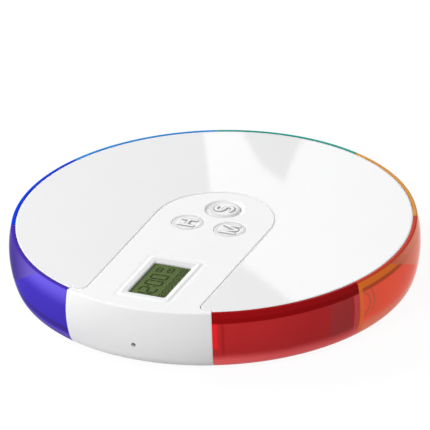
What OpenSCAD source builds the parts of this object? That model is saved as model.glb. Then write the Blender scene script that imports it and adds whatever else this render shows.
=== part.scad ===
// Round weekly pill dispenser: a white disc with a clock panel, and seven tinted drawers round its rim.
// Millimetres, +Z up. The origin is the centre of the plane that the feet stand on, and -Y is the front.

/* [Body] */
// Largest diameter over the bulging side
body_d = 136; // [134:0.5:142]
// Height from the underside of the base to the top rim
body_h = 21; // [21:0.5:24]
// Radius of the bulge of the side, seen in section
bulge_r = 31; // [29:0.5:34]
// Height of the widest point above the underside of the base
bulge_z = 13; // [12.5:0.1:13.5]
// Radius of the bottom edge
bottom_round = 5; // [4.6:0.1:5.6]
// Radius of the top edge of the rim
top_round = 0.6; // [0.4:0.1:0.8]
// Thickness of the base floor and of the curved fronts
wall_t = 1.8; // [1.6:0.1:2]
// Width of the rim round the top cover
rim_w = 1.1; // [1:0.1:1.4]
// Thickness of the top cover and of the panel
cover_t = 2; // [1.8:0.1:2.2]
// Gap between neighbouring fronts, and between the fronts and the cover
seam_gap = 0.3; // [0.25:0.05:0.4]

/* [Drawers] */
// Thickness of a drawer's tray walls and floor
tray_t = 1.2; // [1:0.1:1.4]
// Thickness of a drawer's front at the widest point
front_t = 2.5; // [2.2:0.1:2.8]
// Inner corner radius of a tray
tray_corner = 4; // [2.5:0.5:5]
// Side clearance between a tray and the partitions
tray_clear = 0.4; // [0.3:0.05:0.5]
// Thickness of the partitions and of the hub wall
partition_t = 1.2; // [1:0.1:1.4]
// Length of a tray that stays in its bay when the drawer is out
drawer_stay = 9.6; // [8:0.2:16]
// Height of the guide rails under the trays
rail_h = 1.1; // [1:0.1:1.2]
// Width of a guide rail
rail_w = 1.2; // [1:0.1:1.5]
// Width of the keel under a tray
keel_w = 6; // [5:0.5:7]
// Width of the stop peg, which runs in a slot in the keel
peg_w = 1.8; // [1.4:0.1:2.2]
// Length of the stop peg
peg_l = 3; // [2:0.5:3.5]

/* [Hub] */
// Inner radius of the hub wall
hub_r = 22; // [21.8:0.1:22.5]

/* [Panel] */
// Width of the tongue-shaped panel
tongue_w = 40; // [39:0.5:41]
// Distance of the panel's outer edge line in from the top of the rim
band_w = 2.3; // [2.2:0.1:2.6]
// Radius where the panel's side turns along the rim
flare_r = 2.8; // [2.4:0.1:2.9]
// Gap between the panel and the top cover
groove = 0.3; // [0.2:0.05:0.4]
// Width of the cover's ledge that the panel rests on
ledge_w = 1.2; // [1:0.1:1.4]
// Thickness of that ledge
ledge_t = 1.2; // [1:0.1:1.4]
// Diameter of the sound hole in the front wall
sound_d = 1.3; // [1:0.1:2]

/* [Buttons] */
// Diameter of a button cap
button_d = 10.4; // [9.4:0.2:11]
// Distance of each button from the centre of the body
button_pitch_r = 8.7; // [8.4:0.1:9]
// Gap round a button cap
button_gap = 0.2; // [0.15:0.05:0.3]
// How far a cap stands above the panel
button_proud = 0.2; // [0:0.1:0.4]
// How far a button goes down
button_travel = 0.5; // [0.3:0.1:0.6]
// Width of the flange that keeps a cap in
flange_w = 0.9; // [0.6:0.1:1]
// Diameter of the dished ring round the set button
dish_d = 13; // [12:0.2:13.6]
// Depth of that dish
dish_h = 0.5; // [0.3:0.1:0.6]
// Width of a switch body
switch_w = 6; // [5:0.5:6]
// Height of a switch body
switch_h = 3.5; // [3:0.1:3.6]
// Diameter of a switch plunger
plunger_d = 3.5; // [3:0.1:4]

/* [Display] */
// Distance of the display's centre in from the panel's outer edge line
lcd_in = 19.85; // [19.65:0.05:20.6]
// Width of the visible window, across the panel
window_w = 13.2; // [12:0.2:14]
// Length of the visible window, along the panel
window_l = 22.6; // [22:0.2:23]
// Width of the bevel round the window at each side
bevel_w = 1.9; // [1.4:0.1:2.2]
// Extra length of the bevel at each end
bevel_l = 3.2; // [2:0.1:3.4]
// Depth of the window below the panel
window_z = 1.2; // [1:0.1:1.3]
// Height of the upright edge below the bevel
land_h = 0.3; // [0.2:0.1:0.4]
// Thickness of the clear lens
lens_t = 0.8; // [0.6:0.1:0.8]
// How far lens and display glass reach past the window
glass_lap = 1.1; // [0.8:0.1:1.2]
// Thickness of the display glass
glass_t = 1.8; // [1.6:0.1:2]
// Wall of the frame that holds the display glass
frame_t = 1.4; // [1:0.1:1.5]
// Thickness of the contact strips under the display glass
strip_t = 1.6; // [1.2:0.1:1.8]

/* [Board] */
// Thickness of the circuit board
board_t = 1.2; // [1:0.1:1.6]
// Gap between the board and the screw posts round it
board_edge = 0.5; // [0.4:0.1:1.2]
// Width of the board's neck between the partitions
neck_w = 14; // [12:0.5:14]
// Diameter of the buzzer
buzzer_d = 9; // [8:0.5:9]
// Length of the buzzer
buzzer_l = 4.5; // [4:0.1:5]
// Diameter of the wires
wire_d = 0.9; // [0.7:0.1:1]

/* [Battery] */
// Diameter of the coin cell
cell_d = 20; // [16:0.5:20]
// Thickness of the coin cell
cell_t = 3.2; // [2.5:0.1:3.2]
// Diameter of the round battery door
door_d = 25; // [24:0.5:26]
// Gap round the battery door
door_gap = 0.3; // [0.25:0.05:0.4]
// Turn that frees the battery door
door_turn = 45; // [40:1:50]
// Width of the coin slot
slot_w = 2.2; // [1.8:0.1:2.6]

/* [Fasteners and feet] */
// Diameter of the screws that hold the cover and the housing
screw_d = 2; // [1.8:0.1:2.1]
// Diameter of their heads
head_d = 3.8; // [3.4:0.1:4]
// Diameter of the board screws
board_screw_d = 1.7; // [1.5:0.1:1.8]
// Diameter of a rubber foot
foot_d = 8; // [6:0.5:9]
// Thickness of a rubber foot
foot_t = 1; // [0.8:0.1:1.1]
// How far a foot stands below the base
foot_out = 0.5; // [0.4:0.1:0.6]
// Distance of the feet in from the edge of the base
foot_edge = 7; // [4:0.5:10]

/* [Hidden] */
$fn = 96;
SECTORS = 8;
sector = 360 / SECTORS;
front_a = 270;
DRAWER_ANGLES = [315, 0, 45, 90, 135, 180, 225];
eps = 0.01;

// Heights
base_z = foot_out;
top_z = base_z + body_h;
floor_z = base_z + wall_t;
cover_z = top_z - cover_t;
ledge_z = cover_z - ledge_t;
slide_gap = 0.3;
tray_top = ledge_z - slide_gap;
tray_z = floor_z + rail_h + slide_gap;
tray_floor = tray_z + tray_t;

// Section of the curved side
bulge_c = [body_d / 2 - bulge_r, base_z + bulge_z];
bottom_c = round_centre(bottom_round, base_z + bottom_round);
top_c = round_centre(top_round, top_z - top_round);
top_edge_r = bulge_c.x + sqrt(pow(bulge_r, 2) - pow(top_z - bulge_c.y, 2));
rim_r = top_edge_r - rim_w;
cover_r = rim_r - seam_gap;
lip_w = 0.5;
lip_r = bottom_c.x - lip_w;
base_r = lip_r - seam_gap;
half_sector = sector / 2;
seam_a = seam_gap / body_d * 180 / PI;

// Bays and trays
hub_out = hub_r + partition_t;
sill_h = 4;
tray_side = partition_t / 2 + tray_clear;
tray_in = hub_out + tray_clear;
front_lap = 0.1;
tray_out = body_d / 2 - wall_t + front_lap;
cavity_out = body_d / 2 - front_t;
partition_gap = 1.5;
partition_out = cavity_out - partition_gap;
keel_set = 1.5;
keel_z = floor_z + slide_gap;
keel_in = tray_in + keel_set;
keel_out = lip_r - keel_set;
slot_wall = 1.2;
slot_in = keel_in + slot_wall;
drawer_travel = lip_r - tray_in - drawer_stay;
stop_clear = 0.3;
peg_in = slot_in + drawer_travel + stop_clear;
peg_gap = 0.3;

// Panel outline
band_r = top_edge_r - band_w;
panel_lap = 0.3;
panel_out = rim_r + panel_lap;
ledge_reach = 3.3;
ledge_back = 11.5;
ledge_front = cavity_out - ledge_back;

// Buttons
BUTTON_ANGLES = [210, 90, 330];
flange_h = 0.4;
flange_play = 0.2;
plunger_up = 0.9;
plunger_in = 0.7;
plunger_gap = 0.15;
cap_z = cover_z - flange_h - flange_play;
board_top = cap_z - plunger_up - switch_h;
board_z = board_top - board_t;

// Display
glass_more = 1;
lcd_y = band_r - lcd_in;
glass_w = window_w + 2 * glass_lap + glass_more;
glass_l = window_l + 2 * glass_lap + glass_more;
glass_z = cover_z - slide_gap - glass_t;
fit = 0.1;

// Board
board_lap = 2.5;
board_front = lcd_y + glass_l / 2 + frame_t;
board_back = lcd_y - glass_l / 2 - frame_t - board_lap;
board_w = glass_w + 2 * frame_t;
board_hole_x = 12;
board_hole_y = 7;
neck_hole_in = 3.5;
BOARD_SCREWS = [[board_hole_x, board_hole_y], [-board_hole_x, board_hole_y],
    [0, neck_hole_in - board_back]];
board_post_wall = 1;
board_bore_l = 3.5;
board_head_h = 1.1;
board_grip = 3;
buzzer_drop = 13.1;
buzzer_z = top_z - buzzer_drop;
buzzer_wall = 0.8;
buzzer_gap = 1.2;
buzzer_front = body_d / 2 - wall_t - buzzer_gap;

// Battery
door_r = door_d / 2;
door_hole_r = door_r + door_gap;
LUGS = 3;
lug_a = 12;
lug_w = 1.8;
lug_t = 0.9;
lug_gap = 0.2;
lug_z = floor_z + lug_gap;
door_top = lug_z + lug_t;
cell_z = door_top + lug_gap;
well_t = 1.2;
well_clear = 0.4;
well_r = door_hole_r + lug_w + well_clear + well_t;
well_room = 1;
well_roof = cell_z + cell_t + well_room;
well_top = well_roof + well_t;
cell_gap = 0.25;
cradle_in = cell_d / 2 + cell_gap;
contact_t = 0.3;
contact_w = 4;
contact_up = 0.6;
contact_gap = 0.05;
side_contact_x = cell_d / 2 + contact_gap;
contact_back = 6;
top_contact_x = -contact_back;

// Screws
head_h = 1.3;
COVER_SCREWS = [-5, 60, 120, 185];
post_back = 2.2;
post_ring = hub_r - post_back;
post_wall = 1.1;
post_r = screw_d / 2 + post_wall;
boss_wall = 0.7;
boss_r = head_d / 2 + boss_wall;
seat_up = 0.6;
seat_z = floor_z + seat_up;
boss_h = 2.4;
boss_top = seat_z + boss_h;
board_d = 2 * (post_ring - post_r - board_edge);
HOUSING_SCREWS = [-15, 15];
housing_back = 8.5;
housing_ring = cavity_out - housing_back;
screw_l = 9;
bore_gap = 0.05;
FEET = [45, 135, 225, 315];
foot_ring = base_r - foot_edge - foot_d / 2;

// Centre of an edge radius r at height z that lies against the bulge from inside
function round_centre(r, z) = [bulge_c.x + sqrt(pow(bulge_r - r, 2) - pow(z - bulge_c.y, 2)), z];

// Angle of a point seen from the bulge's centre
function bulge_angle(p) = atan2(p.y - bulge_c.y, p.x - bulge_c.x);

function polar(r, a) = [r * cos(a), r * sin(a)];

// n + 1 points along an arc
function arc(c, r, a0, a1, n) = [for (i = [0:n]) c + polar(r, a0 + (a1 - a0) * i / n)];

// Section of a curved front: up the outside, down the rim and the inside, and out along the bottom lip
function front_section() = let(
    low = bulge_angle(bottom_c),
    high = bulge_angle(top_c),
    inner_high = acos(min(1, (rim_r - bulge_c.x) / (bulge_r - wall_t)))
) concat(
    arc(bottom_c, bottom_round, -90, low, 6),
    arc(bulge_c, bulge_r, low, high, 14),
    arc(top_c, top_round, high, 90, 4),
    [[rim_r, top_z]],
    arc(bulge_c, bulge_r - wall_t, inner_high, low, 10),
    arc(bottom_c, bottom_round - wall_t, low, -90, 5),
    [[lip_r, floor_z], [lip_r, base_z]]
);

// Wedge outline along +X: side is the distance in from the seam lines, and c the corner radius
function wedge(side, r_in, r_out, c) = let(
    a_out = half_sector - asin((side + c) / (r_out - c)),
    a_in = half_sector - asin((side + c) / (r_in + c)),
    out_c = polar(r_out - c, a_out),
    in_c = polar(r_in + c, a_in),
    upper = concat(
        arc([0, 0], r_out, 0, a_out, 6),
        arc(out_c, c, a_out, half_sector + 90, 5),
        arc(in_c, c, half_sector + 90, 180 + a_in, 5),
        arc([0, 0], r_in, a_in, 0, 2)
    ),
    n = len(upper)
) concat(upper, [for (i = [n - 2:-1:1]) [upper[i].x, -upper[i].y]]);

// Panel outline grown by g: round end, straight sides, a flare along the rim, and an outer edge at r_out
function tongue(g, r_out) = let(
    w = tongue_w / 2 + g,
    b = band_r - g,
    cx = w + flare_r,
    cy = -sqrt(pow(b - flare_r, 2) - pow(cx, 2)),
    tangent = atan2(cy, cx),
    side_a = -90 + half_sector - seam_a + g / band_r * 180 / PI,
    right = concat(
        arc([0, 0], r_out, -90, side_a, 8),
        [polar(b, max(side_a, tangent))],
        arc([cx, cy], flare_r, tangent, -180, 5),
        arc([0, 0], w, 0, 90, 12)
    ),
    n = len(right)
) concat(right, [for (i = [n - 2:-1:1]) [-right[i].x, right[i].y]]);

module at_polar(r, a) {
    rotate([0, 0, a]) translate([r, 0, 0]) children();
}

module block(size, z) {
    translate([0, 0, z + size.z / 2]) cube(size, center = true);
}

module rod(a, b, d) {
    v = b - a;
    translate(a)
        rotate([0, acos(v.z / norm(v)), atan2(v.y, v.x)])
            cylinder(h = norm(v), d = d);
}

// Wire from a to b, both square to a horizontal line at the height of a, in one step at that height
module wire(a, b) {
    rod(a, [b.x, b.y, a.z], wire_d);
    translate([b.x, b.y, a.z - wire_d / 2]) cylinder(h = b.z - a.z + wire_d / 2, d = wire_d);
}

module front_wall() {
    half = half_sector - seam_a;
    rotate([0, 0, -half]) rotate_extrude(angle = 2 * half) polygon(front_section());
}

module partition(grow) {
    t = partition_t + 2 * grow;
    translate([0, t / 2, 0])
        rotate([90, 0, 0])
            linear_extrude(t)
                polygon([
                    [hub_r + partition_t / 2, floor_z - eps],
                    [base_r - eps, floor_z - eps],
                    [base_r - eps, floor_z + wall_t],
                    [partition_out, floor_z + 2.6 * wall_t],
                    [partition_out, cover_z],
                    [hub_r + partition_t / 2, cover_z]
                ]);
}

module base_shell() {
    color("white") difference() {
        union() {
            translate([0, 0, base_z]) cylinder(h = wall_t, r = base_r);
            hub_wall();
            for (i = [0:SECTORS - 1]) rotate([0, 0, half_sector + i * sector]) partition(0);
            for (a = DRAWER_ANGLES) rotate([0, 0, a]) guide();
            translate([0, 0, floor_z - eps]) cylinder(h = well_top - floor_z + eps, r = well_r);
            for (a = COVER_SCREWS) at_polar(post_ring, a) screw_boss();
            for (a = HOUSING_SCREWS) at_polar(housing_ring, front_a + a) screw_boss();
        }
        battery_well();
        display_room();
        for (a = COVER_SCREWS) at_polar(post_ring, a) screw_hole();
        for (a = HOUSING_SCREWS) at_polar(housing_ring, front_a + a) screw_hole();
        for (a = FEET) at_polar(foot_ring, a)
            translate([0, 0, base_z - 1]) cylinder(h = foot_t - foot_out + 1, r = foot_d / 2 + fit);
    }
}

// Round wall between the trays and the electronics, open towards the display
module hub_wall() {
    difference() {
        translate([0, 0, floor_z - eps]) cylinder(h = ledge_z - floor_z + eps, r = hub_out);
        translate([0, 0, floor_z - 1]) cylinder(h = body_h, r = hub_r);
        translate([0, 0, floor_z + sill_h])
            linear_extrude(body_h)
                polygon([[0, 0], polar(2 * hub_r, front_a - half_sector),
                    polar(2 * hub_r, front_a + half_sector)]);
    }
}

// Two rails that guide a tray's keel, and the peg that stops it
module guide() {
    for (s = [-1, 1])
        translate([keel_in, s * (keel_w / 2 + slide_gap + rail_w / 2) - rail_w / 2, floor_z - eps])
            cube([keel_out - keel_in, rail_w, rail_h + eps]);
    translate([peg_in, -peg_w / 2, floor_z - eps]) cube([peg_l, peg_w, rail_h + eps]);
}

module screw_boss() {
    translate([0, 0, floor_z - eps]) cylinder(h = boss_top - floor_z + eps, r = boss_r);
}

module screw_hole() {
    translate([0, 0, base_z - 1]) cylinder(h = seat_z - base_z + 1, d = head_d + 0.4);
    translate([0, 0, base_z]) cylinder(h = body_h, d = screw_d + 0.2);
}

// Opening, bayonet notches, cell cradle and contact slots
module battery_well() {
    translate([0, 0, base_z - 1]) cylinder(h = floor_z - base_z + 2, r = door_hole_r);
    translate([0, 0, floor_z]) difference() {
        cylinder(h = well_roof - floor_z, r = well_r - well_t);
        translate([0, 0, door_top + 0.3 - floor_z]) difference() {
            cylinder(h = body_h, r = cradle_in + 1.2);
            translate([0, 0, -1]) cylinder(h = body_h + 2, r = cradle_in);
            translate([0, -contact_w / 2 - fit, -1]) cube([body_d, contact_w + 2 * fit, body_h + 2]);
        }
    }
    for (i = [0:LUGS - 1]) rotate([0, 0, i * 360 / LUGS - door_turn])
        translate([0, 0, base_z - 1])
            rotate([0, 0, -lug_a - 2])
                rotate_extrude(angle = 2 * lug_a + 4) square([door_hole_r + lug_w, wall_t + 1.5]);
    for (x = [side_contact_x, top_contact_x])
        translate([x - fit, -contact_w / 2 - fit, well_roof - 1])
            cube([contact_t + 2 * fit, contact_w + 2 * fit, well_t + 2]);
}

// Clear way for the board and the display frame between the partitions
module display_room() {
    translate([-board_w / 2 - slide_gap, -board_front - slide_gap, board_z - slide_gap])
        cube([board_w + 2 * slide_gap, board_front - board_back + 2 * slide_gap, body_h]);
}

module top_cover() {
    color("white") difference() {
        union() {
            translate([0, 0, cover_z]) linear_extrude(cover_t) difference() {
                circle(r = cover_r, $fn = 180);
                polygon(tongue(groove, body_d));
            }
            difference() {
                translate([0, 0, ledge_z]) linear_extrude(ledge_t) intersection() {
                    difference() {
                        polygon(tongue(ledge_reach, body_d));
                        polygon(tongue(-ledge_w, 2 * body_d));
                    }
                    translate([-body_d / 2, -ledge_front]) square([body_d, body_d]);
                }
                for (i = [0:SECTORS - 1]) rotate([0, 0, half_sector + i * sector]) partition(0.2);
            }
            for (a = COVER_SCREWS) at_polar(post_ring, a)
                translate([0, 0, boss_top]) cylinder(h = ledge_z - boss_top + eps, r = post_r);
        }
        for (a = COVER_SCREWS) at_polar(post_ring, a)
            translate([0, 0, boss_top - 1]) cylinder(h = screw_l, d = screw_d + 2 * bore_gap);
    }
}

module front_housing() {
    color("white") difference() {
        union() {
            rotate([0, 0, front_a]) front_wall();
            translate([0, 0, cover_z]) linear_extrude(cover_t) polygon(tongue(0, panel_out));
            for (a = HOUSING_SCREWS) at_polar(housing_ring, front_a + a)
                translate([0, 0, boss_top]) cylinder(h = cover_z - boss_top + eps, r = post_r);
            for (p = BOARD_SCREWS) translate([p.x, p.y, board_top])
                cylinder(h = cover_z - board_top + eps, d = board_screw_d + 2 * board_post_wall);
            translate([0, -buzzer_front + buzzer_l, buzzer_z])
                rotate([90, 0, 0]) cylinder(h = buzzer_l + 1.6, d = buzzer_d + 2 * (fit + buzzer_wall));
        }
        for (a = BUTTON_ANGLES) at_polar(button_pitch_r, a)
            translate([0, 0, cover_z - 1]) cylinder(h = cover_t + 2, r = button_d / 2 + button_gap);
        at_polar(button_pitch_r, 90) translate([0, 0, top_z - dish_h]) cylinder(h = 1, d = dish_d);
        display_cutout();
        for (a = HOUSING_SCREWS) at_polar(housing_ring, front_a + a)
            translate([0, 0, boss_top - 1]) cylinder(h = screw_l, d = screw_d + 2 * bore_gap);
        for (p = BOARD_SCREWS) translate([p.x, p.y, board_top - 1])
            cylinder(h = board_bore_l + 1, d = board_screw_d + 2 * bore_gap);
        translate([0, -buzzer_front + buzzer_l + 1, buzzer_z])
            rotate([90, 0, 0]) cylinder(h = buzzer_l + 1, d = buzzer_d + 2 * fit);
        translate([0, -body_d / 2 - 1, buzzer_z]) rotate([-90, 0, 0]) cylinder(h = 6, d = sound_d);
    }
}

// Window: a bevelled mouth, an upright edge, and a pocket for the lens from below
module display_cutout() {
    bevel_h = window_z - land_h;
    mouth = [window_w / 2 + bevel_w, window_l / 2 + bevel_l];
    window = [window_w / 2, window_l / 2];
    translate([0, -lcd_y, 0]) {
        frustum(window, mouth, top_z - bevel_h, bevel_h);
        block([window_w, window_l, 4], top_z - window_z - 1);
        block([window_w + 2 * glass_lap + 2 * fit, window_l + 2 * glass_lap + 2 * fit, 2],
            top_z - window_z - 2);
    }
}

// Solid between a small rectangle at z and a large one h above, with half sizes a and b
module frustum(a, b, z, h) {
    up = (h + 0.5) / h;
    c = a + (b - a) * up;
    polyhedron(
        points = [for (e = [[a, z], [c, z + h * up]], s = [[-1, -1], [1, -1], [1, 1], [-1, 1]])
            [s.x * e[0].x, s.y * e[0].y, e[1]]],
        faces = [[0, 1, 2, 3], [7, 6, 5, 4], [0, 4, 5, 1], [1, 5, 6, 2], [2, 6, 7, 3], [3, 7, 4, 0]]
    );
}

// Drawer along +X: curved front, tray, and slotted keel
module drawer() {
    difference() {
        union() {
            front_wall();
            translate([0, 0, tray_z]) linear_extrude(tray_top - tray_z)
                polygon(wedge(tray_side, tray_in, tray_out, tray_corner + tray_t));
            translate([keel_in, -keel_w / 2, keel_z]) cube([keel_out - keel_in, keel_w, tray_z - keel_z + eps]);
        }
        translate([0, 0, tray_floor]) linear_extrude(body_h)
            polygon(wedge(tray_side + tray_t, tray_in + tray_t, cavity_out, tray_corner));
        translate([slot_in, -peg_w / 2 - peg_gap, keel_z - 1])
            cube([keel_out - slot_in - 0.8, peg_w + 2 * peg_gap, tray_z - keel_z + 1]);
    }
}

module red_drawer() { color([0.78, 0.15, 0.15, 0.8]) rotate([0, 0, 315]) drawer(); }
module orange_drawer() { color([0.92, 0.38, 0.22, 0.8]) drawer(); }
module yellow_drawer() { color([0.95, 0.72, 0.2, 0.8]) rotate([0, 0, 45]) drawer(); }
module green_drawer() { color([0.1, 0.66, 0.56, 0.8]) rotate([0, 0, 90]) drawer(); }
module light_blue_drawer() { color([0.1, 0.5, 0.85, 0.8]) rotate([0, 0, 135]) drawer(); }
module blue_drawer() { color([0.1, 0.25, 0.85, 0.8]) rotate([0, 0, 180]) drawer(); }
module purple_drawer() { color([0.32, 0.22, 0.75, 0.8]) rotate([0, 0, 225]) drawer(); }

// Button cap with the flange that holds it under the panel
module button(a) {
    color("white") at_polar(button_pitch_r, a) {
        translate([0, 0, cap_z]) cylinder(h = top_z + button_proud - cap_z, d = button_d);
        translate([0, 0, cap_z]) cylinder(h = flange_h, r = button_d / 2 + flange_w);
    }
}

module hour_button() { button(BUTTON_ANGLES[0]); }
module set_button() { button(BUTTON_ANGLES[1]); }
module minute_button() { button(BUTTON_ANGLES[2]); }

module plunger(a) {
    color("black") at_polar(button_pitch_r, a)
        translate([0, 0, board_top + switch_h - plunger_in])
            cylinder(h = plunger_in + plunger_up, d = plunger_d);
}

module hour_switch_plunger() { plunger(BUTTON_ANGLES[0]); }
module set_switch_plunger() { plunger(BUTTON_ANGLES[1]); }
module minute_switch_plunger() { plunger(BUTTON_ANGLES[2]); }

module switch_bodies() {
    deep = plunger_in + button_travel + 0.3;
    color("dimgray") for (a = BUTTON_ANGLES) translate(polar(button_pitch_r, a)) difference() {
        block([switch_w, switch_w, switch_h], board_top);
        translate([0, 0, board_top + switch_h - deep])
            cylinder(h = deep + 1, r = plunger_d / 2 + plunger_gap);
    }
}

module display_lens() {
    color([0.9, 0.95, 0.95, 0.4]) translate([0, -lcd_y, 0])
        block([window_w + 2 * glass_lap, window_l + 2 * glass_lap, lens_t], top_z - window_z - lens_t);
}

module display_glass() {
    color([0.45, 0.55, 0.3]) translate([0, -lcd_y, 0]) block([glass_w, glass_l, glass_t], glass_z);
}

module display_frame() {
    step_z = glass_z - fit;
    color("whitesmoke") translate([0, -lcd_y, 0]) difference() {
        block([glass_w + 2 * frame_t, glass_l + 2 * frame_t, cover_z - board_top], board_top);
        block([glass_w + 2 * fit, glass_l + 2 * fit, body_h], step_z);
        block([glass_w - 2 * fit, glass_l - 2, body_h], board_top - 1);
    }
}

module contact_strips() {
    color("darkgray") for (s = [-1, 1])
        translate([s * (glass_w / 2 - strip_t / 2 - 2 * fit), -lcd_y, 0])
            block([strip_t, glass_l - 3, glass_z - board_top], board_top);
}

module main_board() {
    color("darkgreen") translate([0, 0, board_z]) linear_extrude(board_t) difference() {
        union() {
            circle(d = board_d);
            translate([-neck_w / 2, -board_back - 1]) square([neck_w, board_back + 1]);
            translate([-board_w / 2, -board_front]) square([board_w, board_front - board_back]);
        }
        for (p = BOARD_SCREWS) translate(p) circle(d = board_screw_d + 0.2);
    }
}

// Drop of black resin over the controller, under the board
module controller_chip() {
    drop_r = 4;
    drop_h = 1.4;
    ball = (pow(drop_r, 2) + pow(drop_h, 2)) / (2 * drop_h);
    color("black") translate([0, -9, 0]) intersection() {
        translate([0, 0, board_z - drop_h + ball]) sphere(r = ball);
        translate([0, 0, board_z - drop_h - 1]) cylinder(h = drop_h + 1, r = drop_r);
    }
}

module clock_crystal() {
    can_d = 2;
    can_l = 6;
    can_x = 8.5;
    color("silver") translate([can_x, -can_l, board_z - can_d / 2])
        rotate([90, 0, 0]) cylinder(h = can_l, d = can_d);
}

// Chip resistors and capacitors under the board
module board_parts() {
    chip = [1.6, 0.8, 0.6];
    row_x = 8;
    row_y = 14;
    row_step = 3;
    neck_step = 2.5;
    neck_row = 4;
    color("tan") {
        for (i = [0:3]) translate([-row_x, row_step * i - row_y, 0]) block(chip, board_z - chip.z);
        for (i = [-1:1]) translate([neck_step * i, -board_back - neck_row, 0])
            block([chip.y, chip.x, chip.z], board_z - chip.z);
    }
}

module buzzer() {
    color("black") translate([0, -buzzer_front + buzzer_l, buzzer_z])
        rotate([90, 0, 0]) difference() {
            cylinder(h = buzzer_l, d = buzzer_d);
            translate([0, 0, buzzer_l - 0.8]) cylinder(h = 1, d = sound_d + 0.7);
        }
}

module buzzer_wires() {
    back = -buzzer_front + buzzer_l;
    color("firebrick") for (s = [-1, 1])
        wire([1.3 * s, back, buzzer_z], [1.3 * s, back + 3.5, board_z]);
}

module coin_cell() {
    lid_t = 0.5;
    color("silver") {
        translate([0, 0, cell_z]) cylinder(h = cell_t - lid_t, d = cell_d);
        translate([0, 0, cell_z]) cylinder(h = cell_t, d = cell_d - 3);
    }
}

// Round door with a coin slot and three bayonet lugs
module battery_door() {
    color("white") difference() {
        union() {
            translate([0, 0, base_z]) cylinder(h = door_top - base_z, r = door_r);
            translate([0, 0, door_top - eps]) cylinder(h = 0.1 + eps, r = 6);
            for (i = [0:LUGS - 1]) rotate([0, 0, i * 360 / LUGS - lug_a])
                translate([0, 0, lug_z])
                    rotate_extrude(angle = 2 * lug_a)
                        translate([door_r - 1, 0]) square([lug_w + door_gap - 0.3 + 1, lug_t]);
        }
        block([0.6 * door_d, slot_w, 2], base_z - 1);
    }
}

// Spring strip under the roof of the well, with a dimple on the cell
module cell_top_contact() {
    color("goldenrod") {
        translate([top_contact_x, -contact_w / 2, well_roof - contact_t])
            cube([4 - top_contact_x, contact_w, contact_t]);
        translate([top_contact_x, -contact_w / 2, well_roof - contact_t])
            cube([contact_t, contact_w, well_t + contact_t + contact_up]);
        translate([0, 0, cell_z + cell_t]) cylinder(h = well_room - contact_t + eps, r = 1.2);
    }
}

module cell_side_contact() {
    color("goldenrod") translate([side_contact_x, -contact_w / 2, cell_z])
        cube([contact_t, contact_w, well_top + contact_up - cell_z]);
}

module battery_wires() {
    tail = well_top + contact_up;
    color("firebrick") for (x = [side_contact_x, top_contact_x])
        translate([x + contact_t / 2, 0, tail]) cylinder(h = board_z - tail, d = wire_d);
}

// Pan-head screw pointing up, with its head below z and a cross in the head
module screw(z, d, head, h, l) {
    difference() {
        union() {
            translate([0, 0, z - h]) cylinder(h = h, d = head);
            translate([0, 0, z - eps]) cylinder(h = l + eps, d = d);
        }
        for (a = [0, 90]) rotate([0, 0, a]) block([0.6 * head, 0.15 * head, 1], z - h - 0.5);
    }
}

module cover_screws() {
    color("silver") for (a = COVER_SCREWS) at_polar(post_ring, a)
        screw(seat_z, screw_d, head_d, head_h, screw_l);
}

module housing_screws() {
    color("silver") for (a = HOUSING_SCREWS) at_polar(housing_ring, front_a + a)
        screw(seat_z, screw_d, head_d, head_h, screw_l);
}

module board_screws() {
    color("silver") for (p = BOARD_SCREWS) translate(p)
        screw(board_z, board_screw_d, 2 * board_screw_d, board_head_h, board_t + board_grip);
}

module rubber_feet() {
    color("gray") for (a = FEET) at_polar(foot_ring, a) cylinder(h = foot_t, d = foot_d);
}

base_shell();
top_cover();
front_housing();
red_drawer();
orange_drawer();
yellow_drawer();
green_drawer();
light_blue_drawer();
blue_drawer();
purple_drawer();
hour_button();
set_button();
minute_button();
hour_switch_plunger();
set_switch_plunger();
minute_switch_plunger();
switch_bodies();
display_lens();
display_glass();
display_frame();
contact_strips();
main_board();
controller_chip();
clock_crystal();
board_parts();
buzzer();
buzzer_wires();
coin_cell();
battery_door();
cell_top_contact();
cell_side_contact();
battery_wires();
cover_screws();
housing_screws();
board_screws();
rubber_feet();
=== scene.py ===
"""Round weekly pill dispenser on a pale floor: the shells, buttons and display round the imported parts."""
import math

import bmesh
import bpy
import numpy as np
from mathutils import Matrix, Vector
from mathutils.geometry import tessellate_polygon


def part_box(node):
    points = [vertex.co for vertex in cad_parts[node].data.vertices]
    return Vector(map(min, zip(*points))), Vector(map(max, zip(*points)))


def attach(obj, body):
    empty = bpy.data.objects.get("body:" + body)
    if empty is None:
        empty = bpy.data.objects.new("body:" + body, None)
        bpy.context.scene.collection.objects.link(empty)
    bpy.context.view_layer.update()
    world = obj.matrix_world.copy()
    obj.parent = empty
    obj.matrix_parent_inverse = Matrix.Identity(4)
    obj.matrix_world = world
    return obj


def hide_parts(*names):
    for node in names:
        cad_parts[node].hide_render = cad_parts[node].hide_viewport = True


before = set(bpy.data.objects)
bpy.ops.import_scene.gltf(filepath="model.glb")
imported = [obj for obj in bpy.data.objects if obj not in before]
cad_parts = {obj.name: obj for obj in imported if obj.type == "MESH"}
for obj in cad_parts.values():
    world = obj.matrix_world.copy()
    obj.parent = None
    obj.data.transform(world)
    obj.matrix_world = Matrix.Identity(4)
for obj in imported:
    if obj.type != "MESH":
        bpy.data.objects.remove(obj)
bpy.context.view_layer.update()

MM = 0.001


def corners(node):
    """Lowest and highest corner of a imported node, in millimetres."""
    return [np.array(corner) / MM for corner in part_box(node)]


# Shell, in millimetres and degrees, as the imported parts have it
BODY_R = corners("orange_drawer")[1][0]
BASE_Z = corners("base_shell")[0][2]
TOP_Z = corners("top_cover")[1][2]
COVER_R = corners("top_cover")[1][0]
BULGE_R = 31
BULGE_UP = 13
BOTTOM_ROUND = 5
TOP_ROUND = 0.6
WALL = 1.8
PLATE = 2
LIP_W = 0.5
FRONT_A = 270

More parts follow.
